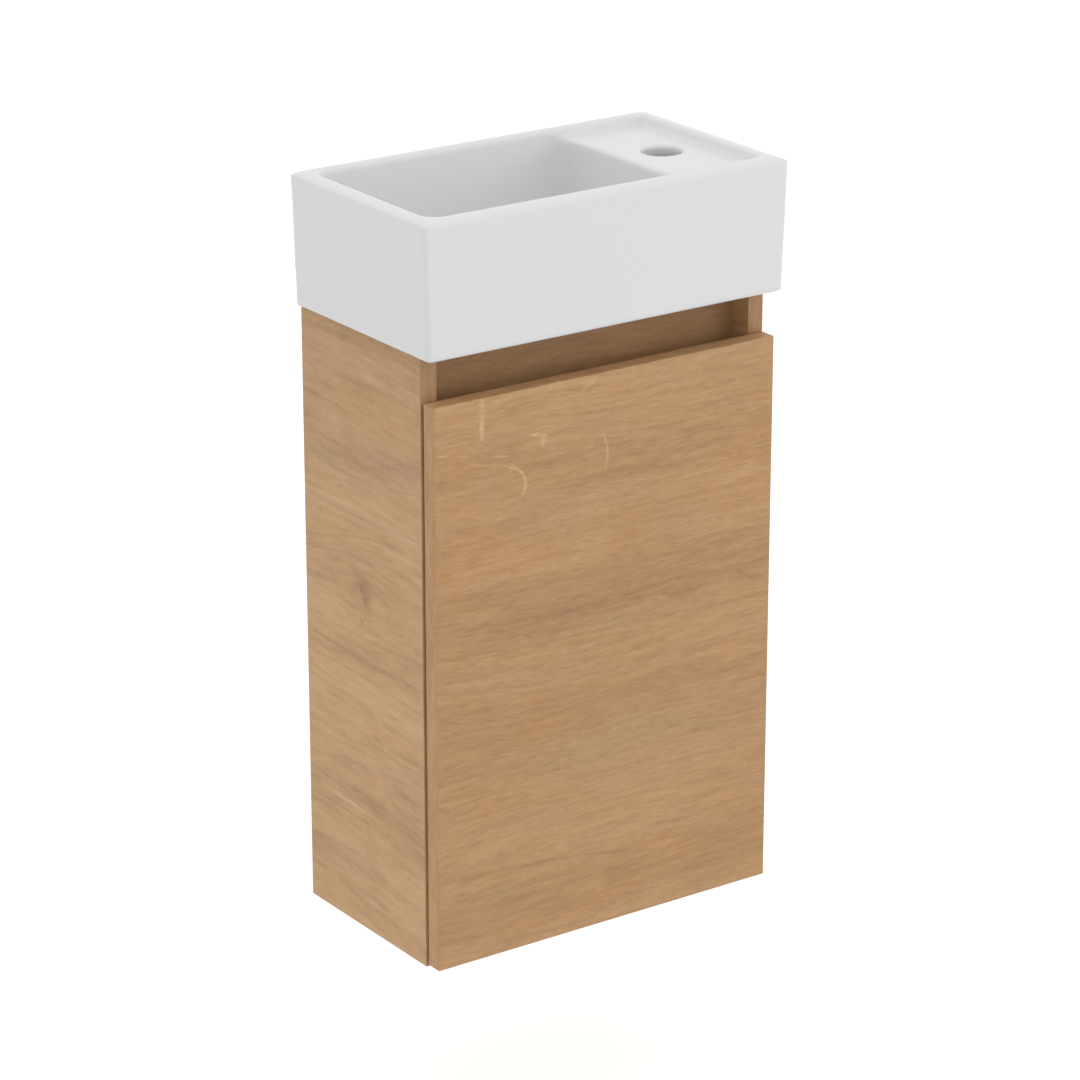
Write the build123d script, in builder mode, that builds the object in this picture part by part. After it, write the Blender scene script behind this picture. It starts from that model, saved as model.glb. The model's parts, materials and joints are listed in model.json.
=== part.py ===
from build123d import *
from math import atan, degrees
import os

os.makedirs("parts", exist_ok=True)

# A wall-hung cloakroom vanity: a ceramic basin on a one-door oak cabinet.
# Millimetres. X runs right, Y runs back to the wall, Z runs up.
# The origin is under the middle of the whole unit, so the wall is at Y = basin_depth / 2.

unit_height = 671.5

# Basin
basin_width = 375
basin_depth = 207
basin_height = 118.5
basin_side_draft = 3.7          # each end leans in this much towards the foot
basin_front_draft = 1.0
basin_corner_radius = 3.5
rim_edge_radius = 2.5
basin_foot_radius = 3.0
wall_left = 19
wall_right = 15.5
wall_front = 20
wall_back = 11
rim_inner_radius = 4.5
bowl_length = 257               # along X, at the rim
bowl_depth = 86
bowl_corner_radius = 14
bowl_floor_radius = 20
bowl_wall_angle = 2.5
deck_drop = 8                   # the tap deck lies this far under the rim
deck_step = 1.5                 # the deck's ends stand in from the bowl's ends
deck_edge_radius = 3.0
deck_corner_radius = 7
deck_thickness = 14
tap_hole_diameter = 35
tap_from_right = 55.5
tap_from_wall = 98
waste_hole_diameter = 45
hole_edge_radius = 1.5
waste_floor_thickness = 12
partition_thickness = 12
skirt_thickness = 12
skirt_corner_radius = 8

# Cabinet boards
board = 16
cabinet_width = 357
cabinet_depth = 185
sealant_thickness = 1
sealant_width = 5
sealant_inset = 6
edge_ease = 0.8
rail_height = 72
recess_depth = 22               # the recess rail stands this far behind the front edges
back_cavity = 18                # from the wall to the back panel
back_panel_thickness = 3
groove_depth = 6
groove_clearance = 0.1
groove_end_room = 0.5
cutout_width = 170
cutout_height = 150
cutout_bottom = 270
cutout_radius = 12
shelf_height = 200
shelf_setback = 18
shelf_clearance = 0.8
shelf_pin_diameter = 5
shelf_pin_depth = 8
shelf_pin_reach = 9
shelf_pin_inset = 32
shelf_hole_pitch = 32

# Cam joints
joint_inset = 36
dowel_pitch = 32
dowel_diameter = 8
dowel_length = 30
dowel_in_side = 10
dowel_spare = 1
cam_diameter = 15
cam_depth = 12.5
cam_distance = 24               # from the end of the board to the cam's axis
cam_slot_width = 2
cam_bore_diameter = 7.6          # takes the bolt's head
bolt_thread_diameter = 5
bolt_thread_length = 10
bolt_shaft_diameter = 6
bolt_neck_diameter = 4
bolt_neck_length = 4
bolt_head_diameter = 7
bolt_head_length = 3
bolt_hole_diameter = 8
fit = 0.05                      # radial room around a pin, dowel or cam

# Door
door_thickness = 16
door_gap = 2                    # between the door and the cabinet's front edges
door_side_inset = 1.4
door_bottom_inset = 2
finger_gap = 39.5               # from the door's top edge to the basin's foot
bumper_diameter = 8
bumper_room = 0.1
bumper_inset = 28

# Concealed hinges, drawn for the closed door
hinge_inset = 100               # from the door's ends to the hinges
cup_diameter = 35
cup_depth = 13.2
cup_wall = 0.7
cup_edge = 3                    # from the door's edge to the cup
cup_bore_room = 0.2
flange_thickness = 1.2
flange_end = 6.5                # the flange reaches this far past its screws
flange_margin = 5
flange_radius = 6
cup_screw_spacing = 45
cup_screw_offset = 9.5
lug_spacing = 15
lug_thickness = 1.2
lug_length = 7
arm_pivot_in = 8.3              # arm pivots: from the side panel's inner face, and behind its front edge
arm_pivot_back = 4.5
inner_pivot_in = 11.5
inner_pivot_back = 11.5
cup_pivot_edge = 6.9            # cup pivots: from the door's edge, and in front of the door's back face
cup_pivot_deep = 4.1
inner_cup_pivot_deep = 9.3
pin_diameter = 2.2
pin_length = 15.6
eye_diameter = 4.2
cup_eye_diameter = 3.6
free_end_right = 0.5            # the inner link's free end rests off the middle of its slot
free_end_forward = 0.6
open_slot_width = 3.9
open_slot_height = 4.8
link_thickness = 1.4
link_bend = 2
outer_elbow_right = 8.2         # bends of the two links, from their pivots in the arm
outer_elbow_forward = 13.6
inner_elbow_right = 0.2
inner_elbow_forward = 14
inner_toe_right = 6.5
inner_link_width = 6
outer_link_width = 12.4
link_room = 0.6                 # between the two links, along the pins
arm_width = 15.8
arm_wall = 1.2
arm_length = 66
arm_nose = 2.9
arm_reach = 16.9
arm_lip = 5.1
plate_thickness = 3
plate_setback = 37              # from the cabinet's front edge to the plate's screws
plate_length = 44
plate_width = 15
block_length = 36
block_room = 0.3
spring_thickness = 0.5          # hairpin leaf between the plate's block and the inner link's eye
spring_width = 5
spring_length = 8
spring_bend = 1.5
spring_room = 0.1
wing_length = 17
wing_height = 50
wing_radius = 5
plate_screw_spacing = 32
screw_diameter = 4
screw_length = 12
screw_head_diameter = 8
screw_head_height = 2
adjuster_diameter = 5
adjuster_length = 8
adjuster_head_diameter = 7
adjuster_head_height = 1.6
adjuster_pitch = 20

# Wall hanging
hanger_height = 440             # middle of the hangers
hanger_width = 15
hanger_body_height = 46
hanger_body_depth = 42
hook_thickness = 3
hook_height = 12
hook_drop = 6
hook_slot_room = 2
wall_plate_width = 28
wall_plate_height = 58
wall_plate_thickness = 2.5
wall_plate_lip = 7
hook_space = 5                  # between the wall plate and its lip
hook_room = 0.3
wall_screw_hole = 5.5
wall_screw_spacing = 30
hanger_screw_diameter = 6
hanger_screw_head_diameter = 10
hanger_screw_spacing = 22
hanger_adjuster_diameter = 6
hanger_adjuster_length = 10

# Places that follow from the sizes
wall_y = basin_depth / 2
front_y = wall_y - cabinet_depth
cabinet_mid_y = wall_y - cabinet_depth / 2
half_cabinet = cabinet_width / 2
half_inner = half_cabinet - board
rim_z = unit_height
basin_z = rim_z - basin_height
side_height = basin_z - sealant_thickness
deck_z = rim_z - deck_drop
bowl_floor_z = rim_z - bowl_depth
bowl_left_x = -basin_width / 2 + wall_left
bowl_right_x = bowl_left_x + bowl_length
bowl_mid_x = (bowl_left_x + bowl_right_x) / 2
bowl_front_y = -wall_y + wall_front
bowl_back_y = wall_y - wall_back
bowl_mid_y = (bowl_front_y + bowl_back_y) / 2
bowl_width = bowl_back_y - bowl_front_y
deck_right_x = basin_width / 2 - wall_right
tap_x = basin_width / 2 - tap_from_right
tap_y = wall_y - tap_from_wall
door_back_y = front_y - door_gap
door_front_y = door_back_y - door_thickness
half_door = half_cabinet - door_side_inset
door_top_z = basin_z - finger_gap
rail_z = side_height - rail_height
recess_rail_y = front_y + recess_depth
back_panel_y = wall_y - back_cavity - back_panel_thickness
back_rail_y = back_panel_y - board
groove_foot_z = board - groove_depth

# The ceramic basin: a drafted block with softened edges
side_angle = degrees(atan(basin_side_draft / basin_height))
front_angle = degrees(atan(basin_front_draft / basin_height))
with BuildPart() as basin:
    with BuildSketch(Plane.XY.offset(basin_z)):
        Rectangle(basin_width, basin_depth)
    extrude(amount=basin_height)
    rim_plane = Plane.XY.offset(rim_z)
    draft(faces=basin.faces().filter_by(Axis.X), neutral_plane=rim_plane, angle=-side_angle)
    draft(faces=basin.faces().sort_by(Axis.Y)[0], neutral_plane=rim_plane, angle=-front_angle)
    upright = [edge for edge in basin.edges() if edge.bounding_box().size.Z > basin_height / 2]
    fillet(upright, basin_corner_radius)
    fillet(basin.faces().sort_by(Axis.Z)[-1].edges(), rim_edge_radius)
    fillet(basin.faces().sort_by(Axis.Z)[0].edges(), basin_foot_radius)
    # the bowl
    with BuildSketch(rim_plane):
        with Locations((bowl_mid_x, bowl_mid_y)):
            RectangleRounded(bowl_length, bowl_width, bowl_corner_radius)
    extrude(amount=-bowl_depth, taper=bowl_wall_angle, mode=Mode.SUBTRACT)
    bowl_floor = [face for face in basin.faces().filter_by(Axis.Z)
                  if abs(face.center().Z - bowl_floor_z) < fit]
    fillet(bowl_floor[0].edges(), bowl_floor_radius)
    # the recessed tap deck, open to the bowl
    with BuildSketch(rim_plane):
        with Locations(((bowl_mid_x + deck_right_x) / 2, bowl_mid_y)):
            RectangleRounded(deck_right_x - bowl_mid_x, bowl_width - 2 * deck_step, deck_corner_radius)
    extrude(amount=-deck_drop, taper=bowl_wall_angle, mode=Mode.SUBTRACT)
    fillet(basin.edges().filter_by_position(Axis.Z, deck_z - fit, deck_z + fit), deck_edge_radius)
    fillet(basin.faces().sort_by(Axis.Z)[-1].inner_wires()[0].edges(), rim_inner_radius)
    # hollow underneath, deeper under the deck
    hollow_left = -basin_width / 2 + basin_side_draft + skirt_thickness
    hollow_right = -hollow_left
    hollow_front = -wall_y + basin_front_draft + skirt_thickness
    hollow_back = wall_y - skirt_thickness
    deck_hollow_left = bowl_right_x + partition_thickness
    bowl_under_z = bowl_floor_z - waste_floor_thickness
    deck_under_z = deck_z - deck_thickness
    for left, top in ((hollow_left, bowl_under_z), (deck_hollow_left, deck_under_z)):
        with BuildSketch(Plane.XY.offset(basin_z)):
            with Locations(((left + hollow_right) / 2, (hollow_front + hollow_back) / 2)):
                RectangleRounded(hollow_right - left, hollow_back - hollow_front, skirt_corner_radius)
        extrude(amount=top - basin_z, mode=Mode.SUBTRACT)
    # tap hole and waste hole
    for x, y, z, diameter in (
        (tap_x, tap_y, deck_z, tap_hole_diameter),
        (bowl_mid_x, bowl_mid_y, bowl_floor_z, waste_hole_diameter),
    ):
        with BuildSketch(Plane.XY.offset(z)):
            with Locations((x, y)):
                Circle(diameter / 2)
        extrude(amount=basin_z - z, mode=Mode.SUBTRACT)
        mouth = [edge for edge in basin.edges().filter_by(GeomType.CIRCLE)
                 if abs(edge.center().Z - z) < fit and abs(edge.radius - diameter / 2) < fit]
        fillet(mouth, hole_edge_radius)
basin.part.label = "basin"
export_step(basin.part, "parts/basin.step")

# Cam joints: where bolts and dowels cross from the side panels into each board's ends, as (Y, Z)
recess_rail_mid_y = recess_rail_y + board / 2
back_rail_mid_y = back_rail_y + board / 2
rail_mid_z = rail_z + rail_height / 2
bottom_bolt_y = (front_y + joint_inset, wall_y - joint_inset)
bottom_bolts = [(y, board / 2) for y in bottom_bolt_y]
bottom_dowels = [(bottom_bolt_y[0] + dowel_pitch, board / 2), (bottom_bolt_y[1] - dowel_pitch, board / 2)]
recess_bolts = [(recess_rail_mid_y, rail_mid_z - dowel_pitch / 2)]
recess_dowels = [(recess_rail_mid_y, rail_mid_z + dowel_pitch / 2)]
back_bolts = [(back_rail_mid_y, rail_mid_z - dowel_pitch / 2)]
back_dowels = [(back_rail_mid_y, rail_mid_z + dowel_pitch / 2)]
all_bolts = bottom_bolts + recess_bolts + back_bolts
all_dowels = bottom_dowels + recess_dowels + back_dowels
bolt_reach = cam_distance + bolt_head_length / 2
dowel_in_board = dowel_length - dowel_in_side

# Hinge places, the same for both hinges but for their height
hinge_levels = {"lower": door_bottom_inset + hinge_inset, "upper": door_top_z - hinge_inset}
cup_x = half_door - cup_edge - cup_diameter / 2
cup_screw_x = cup_x - cup_screw_offset
arm_pivot = (half_inner - arm_pivot_in, front_y + arm_pivot_back)
inner_pivot = (half_inner - inner_pivot_in, front_y + inner_pivot_back)
cup_pivot = (half_door - cup_pivot_edge, door_back_y - cup_pivot_deep)
inner_cup_pivot = (half_door - cup_pivot_edge, door_back_y - inner_cup_pivot_deep)
plate_y = front_y + plate_setback

# Hanger places: fixing screws cross into the side panels, as (Y, Z)
hanger_mid_y = back_panel_y - hanger_body_depth / 2
hanger_screws_at = [(hanger_mid_y - hanger_screw_spacing / 2, hanger_height),
                    (hanger_mid_y + hanger_screw_spacing / 2, hanger_height)]
hanger_x = half_inner - hanger_width / 2

# Shelf pins, as (Y, Z)
shelf_front_y = front_y + shelf_setback
shelf_back_y = back_panel_y - shelf_clearance
shelf_pin_z = shelf_height - shelf_pin_diameter / 2
shelf_pin_y = (shelf_front_y + shelf_pin_inset, shelf_back_y - shelf_pin_inset)
shelf_pins_at = [(y, shelf_pin_z) for y in shelf_pin_y]
shelf_holes_at = [(y, shelf_pin_z + step * shelf_hole_pitch) for y in shelf_pin_y for step in (-1, 0, 1)]


def drill_inwards(face_x, points, radius, depth):
    """Bores round holes along X at the (Y, Z) points, from the plane at face_x."""
    with BuildSketch(Plane.YZ.offset(face_x)) as bores:
        with Locations(*points):
            Circle(radius)
    extrude(bores.sketch, amount=depth, mode=Mode.SUBTRACT)


# Side panels
for side_name, side in (("left", -1), ("right", 1)):
    with BuildPart() as side_panel:
        with BuildSketch(Plane.YZ.offset(side * half_inner)):
            with Locations((cabinet_mid_y, side_height / 2)):
                Rectangle(cabinet_depth, side_height)
        extrude(amount=side * board)
        fillet(side_panel.faces().sort_by(Axis.X)[0 if side < 0 else -1].edges(), edge_ease)
        with BuildSketch(Plane.YZ.offset(side * half_inner)):
            with Locations((back_panel_y + back_panel_thickness / 2, (groove_foot_z + side_height) / 2)):
                Rectangle(back_panel_thickness + 2 * groove_clearance, side_height - groove_foot_z)
        extrude(amount=side * groove_depth, mode=Mode.SUBTRACT)
        drill_inwards(side * half_inner, all_bolts, bolt_thread_diameter / 2 + fit,
                      side * (bolt_thread_length + fit))
        drill_inwards(side * half_inner, all_dowels, dowel_diameter / 2 + fit,
                      side * (dowel_in_side + dowel_spare / 2))
        drill_inwards(side * half_inner, shelf_holes_at, shelf_pin_diameter / 2 + fit,
                      side * (shelf_pin_depth + fit))
        drill_inwards(side * half_inner, hanger_screws_at, hanger_screw_diameter / 2 + fit,
                      side * (screw_length + fit))
        if side > 0:
            plate_screws_at = [(plate_y, hinge_z + end * plate_screw_spacing / 2)
                               for hinge_z in hinge_levels.values() for end in (-1, 1)]
            drill_inwards(half_inner, plate_screws_at, screw_diameter / 2 + fit,
                          screw_length - plate_thickness + fit)
    side_panel.part.label = f"side_panel_{side_name}"
    export_step(side_panel.part, f"parts/side_panel_{side_name}.step")

# Bottom panel, cams bored from underneath
with BuildPart() as bottom_panel:
    with BuildSketch(Plane.XY):
        with Locations((0, cabinet_mid_y)):
            Rectangle(2 * half_inner, cabinet_depth)
    extrude(amount=board)
    with BuildSketch(Plane.XY.offset(board)):
        with Locations((0, back_panel_y + back_panel_thickness / 2)):
            Rectangle(2 * half_inner, back_panel_thickness + 2 * groove_clearance)
    extrude(amount=-groove_depth, mode=Mode.SUBTRACT)
    with BuildSketch(Plane.XY):
        with Locations(*[(end * (half_inner - cam_distance), y) for end in (-1, 1) for y in bottom_bolt_y]):
            Circle(cam_diameter / 2 + fit)
    extrude(amount=cam_depth + fit, mode=Mode.SUBTRACT)
    for end in (-1, 1):
        drill_inwards(end * half_inner, bottom_bolts, bolt_hole_diameter / 2, -end * cam_distance)
        drill_inwards(end * half_inner, bottom_dowels, dowel_diameter / 2 + fit,
                      -end * (dowel_in_board + dowel_spare / 2))
bottom_panel.part.label = "bottom_panel"
export_step(bottom_panel.part, "parts/bottom_panel.step")

# Recess rail behind the finger gap and back rail, cams bored from the face nearer the middle
rails = (
    ("recess_rail", recess_rail_y, recess_rail_y + board, 1, recess_bolts, recess_dowels),
    ("back_rail", back_rail_y, back_rail_y, -1, back_bolts, back_dowels),
)
for rail_name, rail_y, cam_face_y, cam_way, bolts, dowel_points in rails:
    with BuildPart() as rail:
        with BuildSketch(Plane.XY.offset(rail_z)):
            with Locations((0, rail_y + board / 2)):
                Rectangle(2 * half_inner, board)
        extrude(amount=rail_height)
        with BuildSketch(Plane.XZ.offset(-cam_face_y)):
            with Locations(*[(end * (half_inner - cam_distance), bolts[0][1]) for end in (-1, 1)]):
                Circle(cam_diameter / 2 + fit)
        extrude(amount=cam_way * (cam_depth + fit), mode=Mode.SUBTRACT)
        for end in (-1, 1):
            drill_inwards(end * half_inner, bolts, bolt_hole_diameter / 2, -end * cam_distance)
            drill_inwards(end * half_inner, dowel_points, dowel_diameter / 2 + fit,
                          -end * (dowel_in_board + dowel_spare / 2))
    rail.part.label = rail_name
    export_step(rail.part, f"parts/{rail_name}.step")

# Back panel in its grooves, cut out for the pipes and notched for the hanger hooks
hook_z = hanger_height - hook_height / 2
with BuildPart() as back_panel:
    panel_width = 2 * (half_inner + groove_depth - groove_end_room)
    panel_foot_z = groove_foot_z + groove_end_room
    panel_top_z = side_height - groove_end_room
    with BuildSketch(Plane.XZ.offset(-back_panel_y)):
        with Locations((0, (panel_foot_z + panel_top_z) / 2)):
            Rectangle(panel_width, panel_top_z - panel_foot_z)
        with Locations((0, cutout_bottom + cutout_height / 2)):
            RectangleRounded(cutout_width, cutout_height, cutout_radius, mode=Mode.SUBTRACT)
        with Locations((-hanger_x, hanger_height), (hanger_x, hanger_height)):
            Rectangle(hook_thickness + 2 * hook_slot_room, hook_height + 2 * hook_slot_room,
                      mode=Mode.SUBTRACT)
    extrude(amount=-back_panel_thickness)
back_panel.part.label = "back_panel"
export_step(back_panel.part, "parts/back_panel.step")

# Loose shelf on four pins
with BuildPart() as shelf:
    with BuildSketch(Plane.XY.offset(shelf_height)):
        with Locations((0, (shelf_front_y + shelf_back_y) / 2)):
            Rectangle(2 * (half_inner - shelf_clearance), shelf_back_y - shelf_front_y)
    extrude(amount=board)
shelf.part.label = "shelf"
export_step(shelf.part, "parts/shelf.step")

with BuildPart() as shelf_pins:
    for end in (-1, 1):
        with BuildSketch(Plane.YZ.offset(end * (half_inner + shelf_pin_depth))):
            with Locations(*shelf_pins_at):
                Circle(shelf_pin_diameter / 2)
        extrude(amount=-end * (shelf_pin_depth + shelf_pin_reach))
shelf_pins.part.label = "shelf_pins"
export_step(shelf_pins.part, "parts/shelf_pins.step")

# Dowels, cam bolts and cams
with BuildPart() as dowels:
    for end in (-1, 1):
        with BuildSketch(Plane.YZ.offset(end * (half_inner + dowel_in_side))):
            with Locations(*all_dowels):
                Circle(dowel_diameter / 2)
        extrude(amount=-end * dowel_length)
dowels.part.label = "dowels"
export_step(dowels.part, "parts/dowels.step")

bolt_steps = (
    (-bolt_thread_length, 0, bolt_thread_diameter),
    (0, bolt_reach - bolt_head_length - bolt_neck_length, bolt_shaft_diameter),
    (bolt_reach - bolt_head_length - bolt_neck_length, bolt_reach - bolt_head_length, bolt_neck_diameter),
    (bolt_reach - bolt_head_length, bolt_reach, bolt_head_diameter),
)
with BuildPart() as cam_bolts:
    for end in (-1, 1):
        for start, stop, diameter in bolt_steps:
            with BuildSketch(Plane.YZ.offset(end * (half_inner - start))):
                with Locations(*all_bolts):
                    Circle(diameter / 2)
            extrude(amount=-end * (stop - start))
cam_bolts.part.label = "cam_bolts"
export_step(cam_bolts.part, "parts/cam_bolts.step")

cam_face_planes = [
    Plane(origin=(end * (half_inner - cam_distance), y, 0), x_dir=(1, 0, 0), z_dir=(0, 0, -1))
    for end in (-1, 1) for y in bottom_bolt_y
] + [
    Plane(origin=(end * (half_inner - cam_distance), face_y, bolts[0][1]), x_dir=(1, 0, 0), z_dir=(0, way, 0))
    for end in (-1, 1) for _, _, face_y, way, bolts, _ in rails
]
with BuildPart() as cam_locks:
    for plane in cam_face_planes:
        with BuildSketch(plane):
            Circle(cam_diameter / 2)
        extrude(amount=-cam_depth)
        with BuildSketch(plane):
            Rectangle(cam_diameter / 2, cam_slot_width)
            Rectangle(cam_slot_width, cam_diameter / 2)
        extrude(amount=-cam_slot_width, mode=Mode.SUBTRACT)
    for end in (-1, 1):
        drill_inwards(end * half_inner, all_bolts, cam_bore_diameter / 2,
                      -end * (cam_distance + bolt_head_diameter / 2))
cam_locks.part.label = "cam_locks"
export_step(cam_locks.part, "parts/cam_locks.step")

# Sealant beads between the side panels and the basin's foot
with BuildPart() as basin_sealant:
    with BuildSketch(Plane.XY.offset(side_height)):
        for end in (-1, 1):
            with Locations((end * (half_cabinet - sealant_inset - sealant_width / 2), cabinet_mid_y)):
                Rectangle(sealant_width, cabinet_depth - 2 * sealant_inset)
    extrude(amount=sealant_thickness)
basin_sealant.part.label = "basin_sealant"
export_step(basin_sealant.part, "parts/basin_sealant.step")

# Wall plates with an upturned lip, and the hangers that hook over them
lip_y = wall_y - wall_plate_thickness - hook_space - wall_plate_thickness
fold_z = hook_z - wall_plate_lip - wall_plate_thickness
plate_foot_z = fold_z + wall_plate_thickness - wall_plate_height
for side_name, side in (("left", -1), ("right", 1)):
    plate_x = side * (half_inner - hook_room - wall_plate_width / 2)
    with BuildPart() as wall_plate:
        with BuildSketch(Plane.YZ.offset(plate_x - wall_plate_width / 2)):
            with BuildLine():
                Polyline(
                    (wall_y, plate_foot_z),
                    (wall_y, fold_z + wall_plate_thickness),
                    (lip_y + wall_plate_thickness, fold_z + wall_plate_thickness),
                    (lip_y + wall_plate_thickness, hook_z),
                    (lip_y, hook_z),
                    (lip_y, fold_z),
                    (wall_y - wall_plate_thickness, fold_z),
                    (wall_y - wall_plate_thickness, plate_foot_z),
                    close=True,
                )
            make_face()
        extrude(amount=wall_plate_width)
        with BuildSketch(Plane.XZ.offset(-wall_y)):
            with Locations((plate_x, (plate_foot_z + fold_z) / 2)):
                with GridLocations(0, wall_screw_spacing, 1, 2):
                    Circle(wall_screw_hole / 2)
        extrude(amount=wall_plate_thickness, mode=Mode.SUBTRACT)
    wall_plate.part.label = f"wall_plate_{side_name}"
    export_step(wall_plate.part, f"parts/wall_plate_{side_name}.step")

    with BuildPart() as hanger:
        with BuildSketch(Plane.YZ.offset(side * half_inner)):
            with Locations((hanger_mid_y, hanger_height)):
                RectangleRounded(hanger_body_depth, hanger_body_height, hook_thickness)
        extrude(amount=-side * hanger_width)
        tab_y = wall_y - wall_plate_thickness - hook_room
        tab_front_y = lip_y + wall_plate_thickness + hook_room
        with BuildSketch(Plane.YZ.offset(side * hanger_x - hook_thickness / 2)):
            with BuildLine():
                Polyline(
                    (hanger_mid_y, hook_z),
                    (tab_front_y, hook_z),
                    (tab_front_y, hook_z - hook_drop),
                    (tab_y, hook_z - hook_drop),
                    (tab_y, hook_z + hook_height),
                    (hanger_mid_y, hook_z + hook_height),
                    close=True,
                )
            make_face()
        extrude(amount=hook_thickness)
        drill_inwards(side * half_inner, hanger_screws_at, hanger_screw_diameter / 2 + fit,
                      -side * hanger_width)
        with BuildSketch(Plane.XZ.offset(hanger_body_depth - back_panel_y)):
            with Locations((side * hanger_x, hanger_height)):
                with GridLocations(0, hanger_screw_spacing, 1, 2):
                    Circle(hanger_adjuster_diameter / 2 + fit)
        extrude(amount=-hanger_adjuster_length, mode=Mode.SUBTRACT)
    hanger.part.label = f"hanger_{side_name}"
    export_step(hanger.part, f"parts/hanger_{side_name}.step")

with BuildPart() as hanger_screws:
    for end in (-1, 1):
        for start, stop, diameter in (
            (-screw_length, hanger_width, hanger_screw_diameter),
            (hanger_width, hanger_width + screw_head_height, hanger_screw_head_diameter),
        ):
            with BuildSketch(Plane.YZ.offset(end * (half_inner - start))):
                with Locations(*hanger_screws_at):
                    Circle(diameter / 2)
            extrude(amount=-end * (stop - start))
hanger_screws.part.label = "hanger_screws"
export_step(hanger_screws.part, "parts/hanger_screws.step")

with BuildPart() as hanger_adjusters:
    with BuildSketch(Plane.XZ.offset(hanger_body_depth - back_panel_y)):
        for end in (-1, 1):
            with Locations((end * hanger_x, hanger_height)):
                with GridLocations(0, hanger_screw_spacing, 1, 2):
                    Circle(hanger_adjuster_diameter / 2)
    extrude(amount=-hanger_adjuster_length)
hanger_adjusters.part.label = "hanger_adjusters"
export_step(hanger_adjusters.part, "parts/hanger_adjusters.step")

# Door, bored for the hinge cups
with BuildPart() as door:
    with BuildSketch(Plane.XZ.offset(-door_back_y)):
        with Locations((0, (door_bottom_inset + door_top_z) / 2)):
            Rectangle(2 * half_door, door_top_z - door_bottom_inset)
    extrude(amount=door_thickness)
    fillet(door.edges(), edge_ease)
    for hinge_z in hinge_levels.values():
        with BuildSketch(Plane.XZ.offset(-door_back_y)):
            with Locations((cup_x, hinge_z)):
                Circle(cup_diameter / 2 + fit)
        extrude(amount=cup_depth + cup_bore_room, mode=Mode.SUBTRACT)
        with BuildSketch(Plane.XZ.offset(-door_back_y)):
            with Locations((cup_screw_x, hinge_z)):
                with GridLocations(0, cup_screw_spacing, 1, 2):
                    Circle(screw_diameter / 2 + fit)
        extrude(amount=screw_length, mode=Mode.SUBTRACT)
door.part.label = "door"
export_step(door.part, "parts/door.step")

with BuildPart() as door_bumpers:
    with BuildSketch(Plane.XZ.offset(-door_back_y)):
        with Locations((-half_inner - board / 2, door_bottom_inset + bumper_inset),
                       (-half_inner - board / 2, door_top_z - bumper_inset)):
            Circle(bumper_diameter / 2)
    extrude(amount=-(door_gap - bumper_room))
door_bumpers.part.label = "door_bumpers"
export_step(door_bumpers.part, "parts/door_bumpers.step")


def link_outline(points):
    """Sketches a bent strip along the points, with a bored eye at each end."""
    with BuildLine() as strip:
        FilletPolyline(*points, radius=link_bend)
    trace(strip.line, line_width=link_thickness)
    with Locations(points[0]):
        Circle(eye_diameter / 2)
    with Locations(points[-1]):
        Circle(cup_eye_diameter / 2)
    with Locations(points[0], points[-1]):
        Circle(pin_diameter / 2 + fit, mode=Mode.SUBTRACT)


# The strips bend around the cup's rim and the door's edge, which swing past them
outer_elbow = (arm_pivot[0] + outer_elbow_right, arm_pivot[1] - outer_elbow_forward)
outer_link_points = (arm_pivot, outer_elbow, cup_pivot)
inner_link_end = (inner_cup_pivot[0] + free_end_right, inner_cup_pivot[1] - free_end_forward)
inner_link_points = (
    inner_pivot,
    (inner_pivot[0] + inner_elbow_right, inner_pivot[1] - inner_elbow_forward),
    (inner_pivot[0] + inner_toe_right, inner_link_end[1]),
    inner_link_end,
)
spacer_at = ((arm_pivot[0] + outer_elbow[0]) / 2, (arm_pivot[1] + outer_elbow[1]) / 2)
fork_start = inner_link_width / 2 + link_room

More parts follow.
